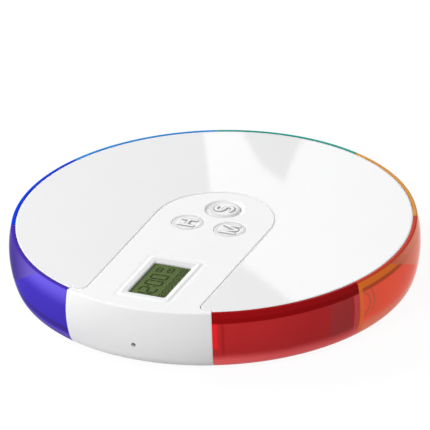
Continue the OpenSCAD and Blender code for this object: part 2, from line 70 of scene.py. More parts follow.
# Eased corners of the fronts, and how far one shape of a shell reaches into the next
FRONT_EASE = 0.15
OVERLAP = 0.1

# Segments: half of a segment's angle, the gap seen between two, and the angle of each drawer's middle
HALF = 22.5
SEEN_GAP = 0.06
SEAM_A = math.degrees(SEEN_GAP / 2 / BODY_R)
COLOURS = "red", "orange", "yellow", "green", "light_blue", "blue", "purple"
DRAWERS = {colour: (FRONT_A + 2 * HALF * place) % 360 for place, colour in enumerate(COLOURS, 1)}

FLOOR_Z = BASE_Z + WALL
COVER_Z = TOP_Z - PLATE
BULGE_C = np.array([BODY_R - BULGE_R, BASE_Z + BULGE_UP])


def inside_bulge(radius, height):
    """Centre of a circle at a height that lies against the bulge from inside."""
    rise = height - BULGE_C[1]
    return np.array([BULGE_C[0] + math.sqrt((BULGE_R - radius) ** 2 - rise**2), height])


BOTTOM_C = inside_bulge(BOTTOM_ROUND, BASE_Z + BOTTOM_ROUND)
TOP_C = inside_bulge(TOP_ROUND, TOP_Z - TOP_ROUND)
TOP_EDGE_R = BULGE_C[0] + math.sqrt(BULGE_R**2 - (TOP_Z - BULGE_C[1]) ** 2)
RIM_R = COVER_R + SEEN_GAP
LIP_R = BOTTOM_C[0] - LIP_W

# Trays, which run on keels under their floors
TRAY_T = 1.2
TRAY_CORNER = 4
TRAY_SIDE = 1
TRAY_IN = 23.6
TRAY_OUT = BODY_R - WALL + OVERLAP
CAVITY_OUT = BODY_R - 2.5
TRAY_Z = FLOOR_Z + 1.4
TRAY_TOP = COVER_Z - 1.5
KEEL_Z = FLOOR_Z + 0.3
KEEL_W = 6
KEEL_SET = 1.5
SLOT_W = 2.4
SLOT_WALL = 1.2
SLOT_END = 0.8

# Panel, the groove round it, and the ledge that it rests on
TONGUE_W = 40
BAND_R = TOP_EDGE_R - 2.3
PANEL_FRONT_R = BAND_R + 1.4
FLARE_R = 2.8
GROOVE = 0.3
GROOVE_DEEP = 0.2
LEDGE_T = 1.2
LEDGE_IN = 1.2
LEDGE_OUT = 3.3
LEDGE_FRONT = CAVITY_OUT - 11.5

# Hollow posts: outer radius, bore radius and height of the foot, and where they stand
SCREW_POST = 2.1, 1.05, 5.3
COVER_POSTS = [(19.8, angle) for angle in (-5, 60, 120, 185)]
WALL_POSTS = [(57, FRONT_A + angle) for angle in (15, -15)]
BOARD_POST = 1.9, 0.9, 14.5
BOARD_POSTS = (12, 7), (-12, 7), (0, -24.5)

# Buttons. The edge of a cap is given by its width, its depth and the bare side below it
BUTTON_ANGLES = {"hour": 210, "set": 90, "minute": 330}
BUTTON_RING = 8.7
BUTTON_R = 5.2
BUTTON_GAP = 0.2
DISH_R = 6.5
DISH_H = 0.66
FLANGE_W = 0.9
FLANGE_T = 0.4
SHOULDER_GAP = 0.04
CAP_HOLLOW = 0.06
CAP_EDGE = {"hour": (1.0, 0.14, 0.02), "set": (0.9, 0.22, 0.08), "minute": (1.0, 0.14, 0.02)}
CAP_TOP = TOP_Z - 0.06
LETTER_W = 0.7
LETTER_LOW = CAP_TOP - 0.07
LETTER_TOP = corners("set_button")[1][2]

# Display. Its skin lies higher than the lens it stands for, and its contents a hair inside the window
LCD_Y = -44.8
WINDOW = np.array([13.2, 22.6])
WINDOW_CORNER = 0.7
FILM = WINDOW - 0.02
MOUTH = WINDOW + 2 * np.array([1.5, 2.4])
MOAT = 0.12
BEAD = 0.18
LENS_RISE = 0.45
LENS_TOP = corners("display_lens")[1][2] + LENS_RISE
FILM_Z = LENS_TOP - 0.2

# Buzzer, with its cup's outer radius, bore radius and distance of the back from the middle
BUZZER_Z = TOP_Z - 13.1
SOUND_R = 0.85
CUP = 5.4, 4.6, 60.5


def polar(radius, degrees):
    """A point, or points, at a radius and an angle in degrees."""
    turn = np.radians(degrees)
    return np.stack([radius * np.cos(turn), radius * np.sin(turn)], -1)


def arc(centre, radius, start, end, count):
    """Points along a circle: centre plus radius times the cosine and sine of evenly spaced degrees."""
    return np.asarray(centre) + polar(radius, np.linspace(start, end, count))


def circle(centre, radius, count):
    """Closed outline of a circle, without a double point at its end."""
    return arc(centre, radius, 0, 360, count + 1)[:-1]


BUTTONS = {name: polar(BUTTON_RING, angle) for name, angle in BUTTON_ANGLES.items()}


def rounded_box(centre, size, corner, count):
    """Closed outline of a rectangle whose corners are quarter circles."""
    reach = np.asarray(size) / 2 - corner
    signs = [(1, 1), (-1, 1), (-1, -1), (1, -1)]
    return np.concatenate(
        [arc(centre + reach * s, corner, 90 * i, 90 * i + 90, count) for i, s in enumerate(signs)]
    )


def offset(loop, distance):
    """The closed outline moved to its left, square to its direction: unit normals of the two edges that
    meet at a point are added and divided by one plus their product, or by 0.3 where that is less."""
    ahead = np.roll(loop, -1, 0) - loop
    ahead /= np.linalg.norm(ahead, axis=1)[:, None]
    left = np.stack([-ahead[:, 1], ahead[:, 0]], 1)
    before = np.roll(left, 1, 0)
    share = 1 + (left * before).sum(1)
    return loop + distance * (left + before) / np.maximum(share, 0.3)[:, None]


def ring(loop, height):
    """A flat outline lifted to a height."""
    return np.column_stack([loop, np.full(len(loop), float(height))])


def grid(rows, columns):
    """Quads between neighbouring points of rows that close on themselves."""
    i, j = np.meshgrid(np.arange(rows - 1), np.arange(columns), indexing="ij")
    right = (j + 1) % columns
    quads = [i * columns + j, i * columns + right, (i + 1) * columns + right, (i + 1) * columns + j]
    return np.stack(quads, -1).reshape(-1, 4).tolist()


def loft(rings):
    """Closed solid through rings of points: quads between rings, and a flat face on the first and last."""
    rings = np.asarray(rings)
    rows, columns = rings.shape[:2]
    ends = [list(range(columns)), list(range((rows - 1) * columns, rows * columns))]
    return rings.reshape(-1, 3), grid(rows, columns) + ends


def plate(strips):
    """Closed solid from strips of rings that run from the top face over an edge to the bottom face. The
    first strip is the outline and the others are holes. Triangles fill both faces between them."""
    points, faces, tops, bottoms, start = [], [], [], [], 0
    for strip in map(np.asarray, strips):
        rows, columns = strip.shape[:2]
        faces += [[start + k for k in quad] for quad in grid(rows, columns)]
        tops.append(start + np.arange(columns))
        bottoms.append(start + (rows - 1) * columns + np.arange(columns))
        points.append(strip.reshape(-1, 3))
        start += rows * columns
    points = np.concatenate(points)
    for loops in (tops, bottoms):
        index = np.concatenate(loops)
        flat = [[Vector((*points[k][:2], 0)) for k in loop] for loop in loops]
        faces += [[int(index[k]) for k in triangle] for triangle in tessellate_polygon(flat)]
    return points, faces


def quarter(wide, deep, count):
    """Points of a quarter of an ellipse, as pairs: wide times one less the sine of its angle, and deep
    times one less the cosine."""
    turn = np.radians(np.linspace(0, 90, count))
    return zip(wide * (1 - np.sin(turn)), deep * (1 - np.cos(turn)))


def over_edge(loop, top, bottom, rounding, inward=1, low=0.1, wide=None):
    """Rings from a top face over a quarter of an ellipse, wide and rounding being its half axes, down a
    side, and under a quarter round of radius low. One more ring holds each face flat beside its edge.
    inward is 1 for an outline and -1 for a hole, both drawn anticlockwise."""
    flat = 0.08
    wide = wide or rounding
    steps = [(wide + flat, top)]
    steps += [(inset, top - down) for inset, down in quarter(wide, rounding, 7)]
    steps += [(inset, bottom + up) for up, inset in quarter(low, low, 4)]
    steps += [(low + flat, bottom)]
    return [ring(offset(loop, inward * inset), height) for inset, height in steps]


def joined(*shapes):
    """Several shapes as one list of points and faces."""
    points, faces, start = [], [], 0
    for own_points, own_faces in shapes:
        points.append(own_points)
        faces += [[start + k for k in face] for face in own_faces]
        start += len(own_points)
    return np.concatenate(points), faces


def turned(shape, degrees):
    """A shape turned about the Z axis."""
    points, faces = shape
    c, s = math.cos(math.radians(degrees)), math.sin(math.radians(degrees))
    return points @ np.array([[c, s, 0], [-s, c, 0], [0, 0, 1]]), faces


def set_sharp(mesh, degrees=35):
    """Merges doubles, turns the faces outwards and shades them smooth, but for edges over an angle."""
    work = bmesh.new()
    work.from_mesh(mesh)
    bmesh.ops.remove_doubles(work, verts=work.verts, dist=1e-7)
    bmesh.ops.recalc_face_normals(work, faces=work.faces)
    for face in work.faces:
        face.smooth = True
    for edge in work.edges:
        edge.smooth = len(edge.link_faces) == 2 and edge.calc_face_angle() < math.radians(degrees)
    work.to_mesh(mesh)
    work.free()


def as_mesh(name, shape):
    """Blender mesh of a shape in millimetres, with faces that point outwards."""
    points, faces = shape
    mesh = bpy.data.meshes.new(name)
    mesh.from_pydata((points * MM).tolist(), [], faces)
    set_sharp(mesh)
    return mesh


def placed(name, data):
    """A new object in the scene."""
    made = bpy.data.objects.new(name, data)
    bpy.context.scene.collection.objects.link(made)
    return made


def combined(mesh, *changes):
    """A closed mesh after others are added to it, or taken from it, one by one."""
    helpers = [placed("helper", mesh)]
    for operation, other in changes:
        helpers.append(placed("helper", other))
        modifier = helpers[0].modifiers.new("change", "BOOLEAN")
        modifier.operation, modifier.solver, modifier.object = operation, "EXACT", helpers[-1]
    graph = bpy.context.evaluated_depsgraph_get()
    result = bpy.data.meshes.new_from_object(helpers[0].evaluated_get(graph))
    for helper in helpers:
        bpy.data.objects.remove(helper)
    set_sharp(result)
    return result


def show(name, mesh, paint, body="root", stands_for=()):
    """Puts a mesh in the scene as a piece that rides on a body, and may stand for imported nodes."""
    piece = placed(name, mesh)
    mesh.materials.clear()
    mesh.materials.append(paint)
    even = piece.modifiers.new("even_normals", "WEIGHTED_NORMAL")
    even.keep_sharp = True
    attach(piece, body)
    if stands_for:
        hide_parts(*stands_for)


def arithmetic(operation, swapped=False):
    """An operator that adds a Math node of two values, in their order or swapped."""

    def method(self, other):
        return self.nodes.math(operation, *((other, self) if swapped else (self, other)))

    return method


class Value:
    """A number on a shader socket. Arithmetic on it adds Math nodes to its tree."""

    def __init__(self, nodes, socket):
        self.nodes, self.socket = nodes, socket

    __add__ = __radd__ = arithmetic("ADD")
    __mul__ = __rmul__ = arithmetic("MULTIPLY")
    __sub__, __rsub__ = arithmetic("SUBTRACT"), arithmetic("SUBTRACT", swapped=True)
    __truediv__, __rtruediv__ = arithmetic("DIVIDE"), arithmetic("DIVIDE", swapped=True)


class Nodes:
    """Makes and links the nodes of a new material or world, whose tree it empties first."""

    def __init__(self, owner):
        owner.use_nodes = True
        self.owner, self.tree = owner, owner.node_tree
        self.tree.nodes.clear()

    def put(self, socket, value):
        """Links a socket, or sets its number or colour."""
        value = getattr(value, "socket", value)
        if isinstance(value, bpy.types.NodeSocket):
            self.tree.links.new(value, socket)
        else:
            socket.default_value = value

    def node(self, kind, settings=None, inputs=None):
        """A node of a type, with its settings and then the values or links of its sockets."""
        made = self.tree.nodes.new("ShaderNode" + kind)
        for key, value in (settings or {}).items():
            setattr(made, key, value)
        for key, value in (inputs or {}).items():
            self.put(made.inputs[key], value)
        return made

    def value(self, kind, settings=None, inputs=None):
        """The first output of a new node."""
        return Value(self, self.node(kind, settings, inputs).outputs[0])

    def math(self, operation, *values):
        """The result of a new Math node."""
        return self.value("Math", {"operation": operation}, dict(enumerate(values)))

    def seen(self):
        """1 for rays from the camera, off gloss or through glass, and 0 for others."""
        path = self.node("LightPath")
        kinds = "Is Camera Ray", "Is Glossy Ray", "Is Transmission Ray"
        camera, gloss, glass = (Value(self, path.outputs[kind]) for kind in kinds)
        return self.math("MINIMUM", camera + gloss + glass, 1.0)


class Paint(Nodes):
    """A material with one Principled shader, and the nodes that vary its colour and finish. Values that
    are the same all over are given by their sockets' names."""

    def __init__(self, name, **finish):
        super().__init__(bpy.data.materials.new(name))
        self.shader = self.node("BsdfPrincipled")
        self.node("OutputMaterial", inputs={"Surface": self.shader.outputs[0]})
        for socket, value in finish.items():
            self.put(self.shader.inputs[socket.replace("_", " ").title().replace("Ior", "IOR")], value)

    def place(self, degrees=0):
        """Object coordinates in millimetres, turned about Z so that a drawer's middle lies along +X."""
        source = self.node("TexCoord").outputs["Object"]
        turn = (0, 0, -math.radians(degrees))
        mapping = self.node("Mapping", inputs={"Vector": source, "Rotation": turn, "Scale": [1 / MM] * 3})
        return mapping.outputs[0]

    def axes(self, vector):
        """The three parts of a vector."""
        split = self.node("SeparateXYZ", inputs={0: vector})
        return [Value(self, out) for out in split.outputs]

    def stretched(self, vector, times):
        """A vector with each part multiplied, so that noise on it is drawn out along the smaller ones."""
        return self.node("VectorMath", {"operation": "MULTIPLY"}, {0: vector, 1: times}).outputs[0]

    def step(self, value, low, high):
        """0 at low and 1 at high, with a smooth turn between."""
        inputs = {"Value": value, "From Min": low, "From Max": high}
        return self.value("MapRange", {"interpolation_type": "SMOOTHSTEP"}, inputs)

    def before(self, value, edge, soft):
        """1 before a soft edge, and 0 past it."""
        return 1 - self.step(value, edge - soft, edge + soft)

    def band(self, value, low, high, soft):
        """1 between low and high, and 0 outside, over soft edges."""
        return self.step(value, low - soft, low + soft) * self.before(value, high, soft)

    def noise(self, vector, scale, detail=3):
        """Smooth noise from 0 to 1."""
        return self.value("TexNoise", inputs={"Vector": vector, "Scale": scale, "Detail": detail})

    def blend(self, share, first, second):
        """Colour between two colours."""
        settings = {"data_type": "RGBA", "clamp_factor": True}
        return self.node("Mix", settings, {0: share, 6: first, 7: second}).outputs[2]

    def finish(self, colour, rough, height, depth, strength=0.3):
        """Sets colour, roughness and a small relief, whose depth is in millimetres. It gives back the
        material."""
        inputs = {"Height": height, "Distance": depth * MM, "Strength": strength}
        relief = self.node("Bump", inputs=inputs).outputs[0]
        for socket, value in (("Base Color", colour), ("Roughness", rough), ("Normal", relief)):
            self.put(self.shader.inputs[socket], value)
        return self.owner


def srgb(red, green, blue):
    """Linear colour, with a 1 for opacity, of 0 to 255 screen values."""
    share = np.array([red, green, blue]) / 255
    linear = np.where(share <= 0.04045, share / 12.92, ((share + 0.055) / 1.055) ** 2.4)
    return (*linear.tolist(), 1)


def moulded(name, colour, roughness, grain=0.02, cloudy=0.03, patch=None, **finish):
    """Moulded plastic: a faint cloud in colour and roughness, and a fine grain. A patch is a soft box of
    another colour, given by its low and high corner in x and y, and that colour."""
    paint = Paint(name, **finish)
    place = paint.place()
    cloud = paint.noise(place, 0.06)
    dim = tuple(c * (1 - cloudy) for c in colour[:3]) + (1,)
    tone = paint.blend(cloud, colour, dim)
    if patch:
        low, high, other = patch
        x, y = paint.axes(place)[:2]
        share = paint.band(x, low[0], high[0], 0.4) * paint.band(y, low[1], high[1], 0.15)
        tone = paint.blend(share, tone, other)
    return paint.finish(tone, cloud * 0.06 + (roughness - 0.03), paint.noise(place, 3.0, 2), grain)


def lettered(name, colour, side):
    """White of a raised letter, with grey painted shade on its sides."""
    paint = Paint(name)
    place = paint.place()
    grain = paint.noise(place, 3.0, 2)
    height = paint.axes(place)[2] + grain * 0.04
    # Painted shade: below the letter's top its sides are grey
    tone = paint.blend(paint.step(height, LETTER_TOP - 0.1, LETTER_TOP - 0.03), side, colour)
    return paint.finish(tone, 0.34, grain, 0.02)


def ringed(name, centre, colour, edge_shade_colour):
    """White of a button cap, with painted shade that makes it greyer along its rounded edge."""
    paint = Paint(name, ior=1.46)
    place = paint.place()
    x, y = paint.axes(place)[:2]
    east, north = x - float(centre[0]), y - float(centre[1])
    radius = paint.math("SQRT", east * east + north * north)
    cloud = paint.noise(place, 0.3)
    # Painted shade along the cap's rounded edge
    edge = paint.band(radius + cloud * 0.3, BUTTON_R - 0.9, BUTTON_R + 0.3, 0.4)
    tone = paint.blend(edge * 0.7 + cloud * 0.06, colour, edge_shade_colour)
    return paint.finish(tone, cloud * 0.06 + 0.31, paint.noise(place, 3.0, 2), 0.02)


def metal(name, colour, roughness, brush=(0.4, 6, 0.4)):
    """Metal with fine scratches, which are noise drawn out along an axis, and darker stains."""
    paint = Paint(name, metallic=1.0)
    place = paint.place()
    scratch = paint.noise(paint.stretched(place, brush), 2.0, 4)
    stain = paint.noise(place, 0.25, 3)
    dark = tuple(c * 0.7 for c in colour[:3]) + (1,)
    tone = paint.blend(paint.step(stain, 0.45, 0.8), colour, dark)
    return paint.finish(tone, scratch * 0.25 + (roughness - 0.1), scratch, 0.02)


def circuit_board(name):
    """Green solder mask over copper lines. They run where a triangle wave of X, bent by noise, is near
    zero, and break where a slower one of Y is."""
    paint = Paint(name, ior=1.5)
    place = paint.place()
    x, y = paint.axes(place)[:2]
    mask, copper = srgb(22, 96, 52), srgb(46, 132, 72)
    bend = paint.noise(place, 0.12, 0) * 9
    lines = paint.math("PINGPONG", x + bend, 1.1)
    pads = paint.math("PINGPONG", y + bend * 0.5, 2.3)
    share = (1 - paint.step(lines, 0.12, 0.2)) * paint.step(pads, 0.5, 0.7)
    return paint.finish(paint.blend(share, mask, copper), share * 0.1 + 0.3, share, 0.03, 0.4)


def striped(name, first, second, pitch, share=0.5):
    """Bands across the line where X and Y are equal, such as a contact strip's conducting layers."""
    paint = Paint(name, ior=1.4)
    place = paint.place()
    x, y = paint.axes(place)[:2]
    band = paint.step(paint.math("PINGPONG", x + y, pitch) / pitch, share - 0.1, share + 0.1)
    cloud = paint.noise(place, 0.8)
    tone = paint.blend(band * (0.8 + 0.2 * cloud), first, second)
    return paint.finish(tone, cloud * 0.2 + 0.5, band, 0.02, 0.4)


def clear(name):
    """Clear moulded window."""
    paint = Paint(name, base_color=srgb(90, 100, 80), alpha=0.04)
    haze = paint.noise(paint.place(), 1.5)
    paint.put(paint.shader.inputs["Roughness"], haze * 0.05 + 0.03)
    return paint.owner


def display_green(name):
    """Back of the display: green film with a fine fibre, with painted shade round its edge, and darker
    towards one side.
    """
    paint = Paint(name, ior=1.15)
    place = paint.place()
    x, y = paint.axes(place)[:2]
    beside = WINDOW[0] / 2 - paint.math("ABSOLUTE", x)
    above = WINDOW[1] / 2 - paint.math("ABSOLUTE", y - LCD_Y)
    fibre = paint.noise(paint.stretched(place, (4, 1, 1)), 1.5)
    # Painted shade round the film's edge, under the window's rim
    shade = 1 - paint.step(paint.math("MINIMUM", beside, above), 0.0, 0.8)
    bright, deep = srgb(93, 113, 56), srgb(58, 72, 32)
    slope = paint.step(x + y * 0.1, -12, 6)
    tone = paint.blend(shade * 0.6 + fibre * 0.2 + slope * 0.35, bright, deep)
    return paint.finish(tone, fibre * 0.1 + 0.4, fibre, 0.01)


def tinted(name, degrees, tones, zone, low, sheen, shares, light, ior):
    """Tinted plastic of a drawer, with light and shade painted into its colour. Down its front run the
    rim's zone, whose tone is painted, a band of painted shadow where the tray's upper edge lies behind it,
    the main colour, and a pale band of painted light below the tray's floor. Zone gives the depths of the
    first two and the softness of their edges, low where the pale band begins and is full. A painted sheen,
    which is a reflection, lies above a sloping line, given by its depth at the middle, its slope and its
    share. Shares are those of the painted shade at the right end, the painted shade round the tray's round
    corner, a dark line over the pale band, and the painted glow on the left with its two ends. Light is the
    strength of a painted glow, the colour given off again, which stands for light coming through the
    plastic."""
    main, deep, dusk, pale, glow, rim, face = (srgb(*tone) for tone in tones)
    behind, bows, line, beside, high, foot = shares
    upper, edge, soft = zone
    middle, slope, sheen_share = sheen
    paint = Paint(name, ior=ior, emission_strength=light)
    place = paint.place(degrees)
    x, y, z = paint.axes(place)
    below = TOP_Z - z
    along = paint.math("ARCTAN2", y, x) * BODY_R
    radius = paint.math("SQRT", x * x + y * y)
    front = paint.step(radius, TRAY_OUT - 4, TRAY_OUT - 2.5)
    cloud = paint.noise(place, 0.07, 2)
    wave = cloud * 1.2 - 0.6
    ripple = paint.noise(place, 0.5, 3) * 3 - 1.5
    colour = paint.blend(cloud * 0.35, main, deep)

    # Lengths along the rim from the drawer's middle to its end, the tray's side and the start of the
    # painted shade
    end = HALF * math.pi / 180 * BODY_R
    tray_end, shade_start = end - 2.9, end - 12.6
    # Painted shade at the right end and along the tray's side at the left, painted light on a strip past
    # the tray's right end, and painted glow at the drawer's left end
    shaded_end = paint.band(along + ripple, shade_start, tray_end, 0.8) * paint.before(along, end - 2.95, 0.35)
    tray_side_shade = paint.band(along, -tray_end, 1 - tray_end, 0.3) * paint.band(below, 3.6, 15, 0.6)
    strip = paint.step(along, tray_end, tray_end + 0.6) * paint.step(below, 1.5, 3)
    left_glow = paint.before(along, 1.65 - end, 0.35) * paint.band(below, high, foot, 0.3)

    # Two bows of painted shade round the tray's front corner, beside the drawer's left end
    east, down = along + (end - 0.2), below - 8.2
    bow = paint.math("SQRT", east * east + down * down)
    arcs = paint.band(bow, 4.0, 4.9, 0.35) + paint.band(bow, 6.2, 7.1, 0.35)
    # Tone of the painted reflection: darker at the left and paler at the right
    sheen_reflection_tone = paint.blend(paint.step(along, -12, 12), dusk, pale)

    # Each layer of painted light and shade lies over those before it, on the front alone
    layers = [
        (shaded_end * paint.band(below + wave, 3.4, 16, 0.9) * (behind * 0.8), dusk),
        (tray_side_shade * (behind * 0.35), deep),
        (arcs * paint.band(down, -4.2, 4.2, 0.5) * bows, dusk),
        (strip * (behind * 0.4), pale),
        # Painted light in the pale band low down, and a dark line over it
        (paint.step(below + wave, *low) * 0.9, pale),
        (paint.band(below, low[0] - 2, low[0] - 0.3, 0.4) * line, dusk),
        # Painted shadow in a band below the rim zone, and over it the rim zone's painted tone
        (paint.before(below + wave * 0.3, edge, soft) * (1 if edge > upper else 0), deep),
        (paint.before(below + wave * 0.3, upper, soft), rim),
        # Painted reflection above the sloping line, painted glow at the left end, and the top face's own
        # tone
        (paint.before(below - along * slope + wave, middle, 0.4) * sheen_share, sheen_reflection_tone),
        (left_glow * beside, glow),
        (1 - paint.step(below, 0.1, 0.5), face),
    ]
    for share, tone in layers:
        colour = paint.blend(share * front, colour, tone)
    # Painted glow: the same colour is given off as light, for light coming through the plastic
    paint.put(paint.shader.inputs["Emission Color"], colour)
    return paint.finish(colour, cloud * 0.04 + 0.1, paint.noise(place, 2.5, 2), 0.01, 0.2)


def front_section():
    """Section of a curved front, as (radius, height): up the outside, over the rim and down the inside in
    arcs, and then along the bottom lip. The rim's inner corner and the lip's are eased."""
    low, high = (math.degrees(math.atan2(*(c - BULGE_C)[::-1])) for c in (BOTTOM_C, TOP_C))
    inner = math.degrees(math.acos((RIM_R - BULGE_C[0]) / (BULGE_R - WALL)))
    return np.concatenate([
        arc(BOTTOM_C, BOTTOM_ROUND, -90, low, 14),
        arc(BULGE_C, BULGE_R, low, high, 36)[1:],
        arc(TOP_C, TOP_ROUND, high, 90, 8)[1:],
        arc((RIM_R + FRONT_EASE, TOP_Z - FRONT_EASE), FRONT_EASE, 90, 180, 4),
        arc(BULGE_C, BULGE_R - WALL, inner, low, 22),
        arc(BOTTOM_C, BOTTOM_ROUND - WALL, low, -90, 8)[1:],
        [[LIP_R, FLOOR_Z], [LIP_R, BASE_Z + FRONT_EASE], [LIP_R + FRONT_EASE, BASE_Z]],
    ])


def sweep(section, half, steps=64):
    """A closed section turned about Z from -half to half degrees. At both ends it shrinks along its own
    normals by FRONT_EASE times one less the sine of a quarter turn, which rounds the end edges."""
    turn = np.radians(np.linspace(0, 90, 5))
    run = np.degrees(FRONT_EASE * (1 - np.cos(turn)) / BODY_R)
    shrink = FRONT_EASE * (1 - np.sin(turn))
    middle = np.linspace(run[-1] - half, half - run[-1], steps)[1:-1]
    angles = np.concatenate([run - half, middle, half - run[::-1]])
    insets = np.concatenate([shrink, np.zeros(steps - 2), shrink[::-1]])
    rings = []
    for angle, inset in zip(angles, insets):
        shape = offset(section, inset)
        rings.append(np.column_stack([polar(shape[:, 0], angle), shape[:, 1]]))
    return loft(rings)


def wedge(side, inner, outer, corner):
    """Outline of a ring sector along +X, drawn in by side from its seam lines, with rounded corners."""
    a_out = HALF - math.degrees(math.asin((side + corner) / (outer - corner)))
    a_in = HALF - math.degrees(math.asin((side + corner) / (inner + corner)))
    upper = np.concatenate([
        arc((0, 0), outer, 0, a_out, 24),
        arc(polar(outer - corner, a_out), corner, a_out, HALF + 90, 12)[1:],
        arc(polar(inner + corner, a_in), corner, HALF + 90, 180 + a_in, 12),
        arc((0, 0), inner, a_in, 0, 8)[1:],
    ])
    return np.concatenate([upper, upper[-2:0:-1] * (1, -1)])


def wedge_solid(side, inner, outer, corner, steps):
    """Solid through wedges: each step is how far its outline lies inside the first one, and its height."""
    return loft([ring(wedge(side + d, inner + d, outer - d, corner - d), z) for d, z in steps])


def drawer_mesh():
    """A drawer along +X: curved front, tray with an eased rim and a rounded floor, and slotted keel."""
    ease, foot, fillet, keel_ease = 0.3, 0.6, 2.0, 0.2
    outside = [(inset, TRAY_Z + up) for inset, up in quarter(foot, foot, 6)]
    outside += [(inset, TRAY_TOP - down) for down, inset in quarter(ease, ease, 6)]
    inside = [(inset, TRAY_Z + TRAY_T + up) for inset, up in quarter(fillet, fillet, 6)]
    inside += [(-wider, TRAY_TOP - down) for down, wider in quarter(ease, ease, 6)]
    inside += [(-ease, TOP_Z + 1)]
    front = sweep(front_section(), HALF - SEAM_A)
    tray = wedge_solid(TRAY_SIDE, TRAY_IN, TRAY_OUT, TRAY_CORNER + TRAY_T, outside)
    cavity = wedge_solid(TRAY_SIDE + TRAY_T, TRAY_IN + TRAY_T, CAVITY_OUT, TRAY_CORNER, inside)
    start, end = TRAY_IN + KEEL_SET, LIP_R - KEEL_SET
    bar = rounded_box(((start + end) / 2, 0), (end - start, KEEL_W), 0.4, 4)
    slot_in, slot_out = start + SLOT_WALL, end - SLOT_END
    slot = rounded_box(((slot_in + slot_out) / 2, 0), (slot_out - slot_in, SLOT_W), 0.3, 4)
    in_tray = TRAY_Z + 0.3
    keel = plate([
        [ring(bar, in_tray), ring(bar, KEEL_Z + keel_ease), ring(offset(bar, keel_ease), KEEL_Z)],
        [ring(slot, in_tray), ring(slot, KEEL_Z)],
    ])
    front, tray, keel, cavity = (as_mesh("part", shape) for shape in (front, tray, keel, cavity))
    return combined(front, ("UNION", tray), ("UNION", keel), ("DIFFERENCE", cavity))


def tongue_side(grow):
    """Right side of the panel's outline, from the rim band to its tip: a flare of radius FLARE_R, and a
    quarter of its round end."""
    half, band = TONGUE_W / 2 + grow, BAND_R - grow
    x = half + FLARE_R
    y = -math.sqrt((band - FLARE_R) ** 2 - x**2)
    start = math.degrees(math.atan2(y, x))
    return start, np.concatenate([arc((x, y), FLARE_R, start, -180, 12), arc((0, 0), half, 0, 90, 40)])


def panel_outline(grow, outer):
    """Closed outline of the panel, anticlockwise, with its front edge at a radius."""
    start, right = tongue_side(grow)
    front = arc((0, 0), outer, -180 - start, start, 48)
    return np.concatenate([front, right, right[-2::-1] * (-1, 1)])


def cover_outline():
    """Closed outline of the cover: its rim, and round the panel with a groove between."""
    open_a = HALF - 90 - SEAM_A + math.degrees(GROOVE / BAND_R)
    right = np.concatenate([polar(BAND_R - GROOVE, open_a)[None], tongue_side(GROOVE)[1]])
    rim = arc((0, 0), COVER_R, open_a, 180 - open_a, 300)
    return np.concatenate([rim, right * (-1, 1), right[-2::-1]])


def tube(centre, radius, bore, low, high):
    """A hollow post between two heights."""
    outer, inner = circle(centre, radius, 32), circle(centre, bore, 32)
    return plate([[ring(outer, high), ring(outer, low)], [ring(inner, high), ring(inner, low)]])


def cover_mesh():
    """Top cover: a plate with eased edges, the ledge that the panel rests on, and four screw posts. Below
    the groove, in place of the edge's last two rings, the plate steps out nearly to the panel, but never
    past the cover's own radius."""
    outline = cover_outline()
    step = offset(outline, SEEN_GAP - GROOVE)
    step *= np.minimum(COVER_R / np.linalg.norm(step, axis=1), 1)[:, None]
    groove_z = TOP_Z - GROOVE_DEEP
    edge = over_edge(outline, TOP_Z, groove_z, rounding=0.18, wide=0.6)[:-2]
    top = plate([edge + [ring(outline, groove_z), ring(step, groove_z), ring(step, COVER_Z)]])
    rails = []
    for grow in (LEDGE_OUT, -LEDGE_IN):
        line = tongue_side(grow)[1]
        line = line[line[:, 1] > -LEDGE_FRONT]
        rails.append(np.concatenate([[(line[0][0], -LEDGE_FRONT)], line]))
    outer, inner = rails
    loop = np.concatenate([outer, outer[-2::-1] * (-1, 1), inner * (-1, 1), inner[-2::-1]])
    ledge = plate([[ring(loop, COVER_Z + OVERLAP), ring(loop, COVER_Z - LEDGE_T)]])
    posts = [tube(polar(*place), *SCREW_POST, COVER_Z - LEDGE_T + OVERLAP) for place in COVER_POSTS]
    return as_mesh("top_cover", joined(top, ledge, *posts))


def display_edge():
    """Rings from the panel's top into a shallow moat, over a low bead, and down the display's mouth: a
    gentle bevel, a steep step, a narrow ledge, and the pocket that holds the lens. Moat and bead follow
    half cosine waves. Each step is the outline's size, its corner radius and its depth below the top."""
    moat_out, bead_out, bead_in, pocket_down = 5.2, 2.6, 0.4, 1.2

    def half_wave(out, inner, corner, start, end):
        share = np.linspace(0, 1, 8)
        depth = start + (end - start) * (1 - np.cos(math.pi * share)) / 2
        return [(MOUTH + out + (inner - out) * s, corner, down) for s, down in zip(share, depth)]

    steps = [(MOUTH + moat_out + 0.4, 1.6, 0)] + half_wave(moat_out, bead_out, 1.5, 0, MOAT)
    steps += half_wave(bead_out, bead_in, 1.4, MOAT, -BEAD)[1:]

    # Down the mouth: share of the way from mouth to window, corner radius and depth
    bevel = [(0, 1.3, 0.02 - BEAD), (0.1, 1.25, 0.07 - BEAD), (0.8, 0.95, 0.14), (0.85, 0.9, 0.18)]
    bevel += [(0.9, 0.85, 0.36), (0.93, 0.8, 0.4), (0.98, 0.72, 0.42)]
    bevel += [(1, WINDOW_CORNER, 0.46), (1, WINDOW_CORNER, pocket_down)]
    steps += [(MOUTH + (WINDOW - MOUTH) * s, corner, down) for s, corner, down in bevel]
    steps += [(WINDOW + 2.4, WINDOW_CORNER, down) for down in (pocket_down, PLATE)]
    return [ring(rounded_box((0, LCD_Y), size, corner, 9), TOP_Z - down) for size, corner, down in steps]


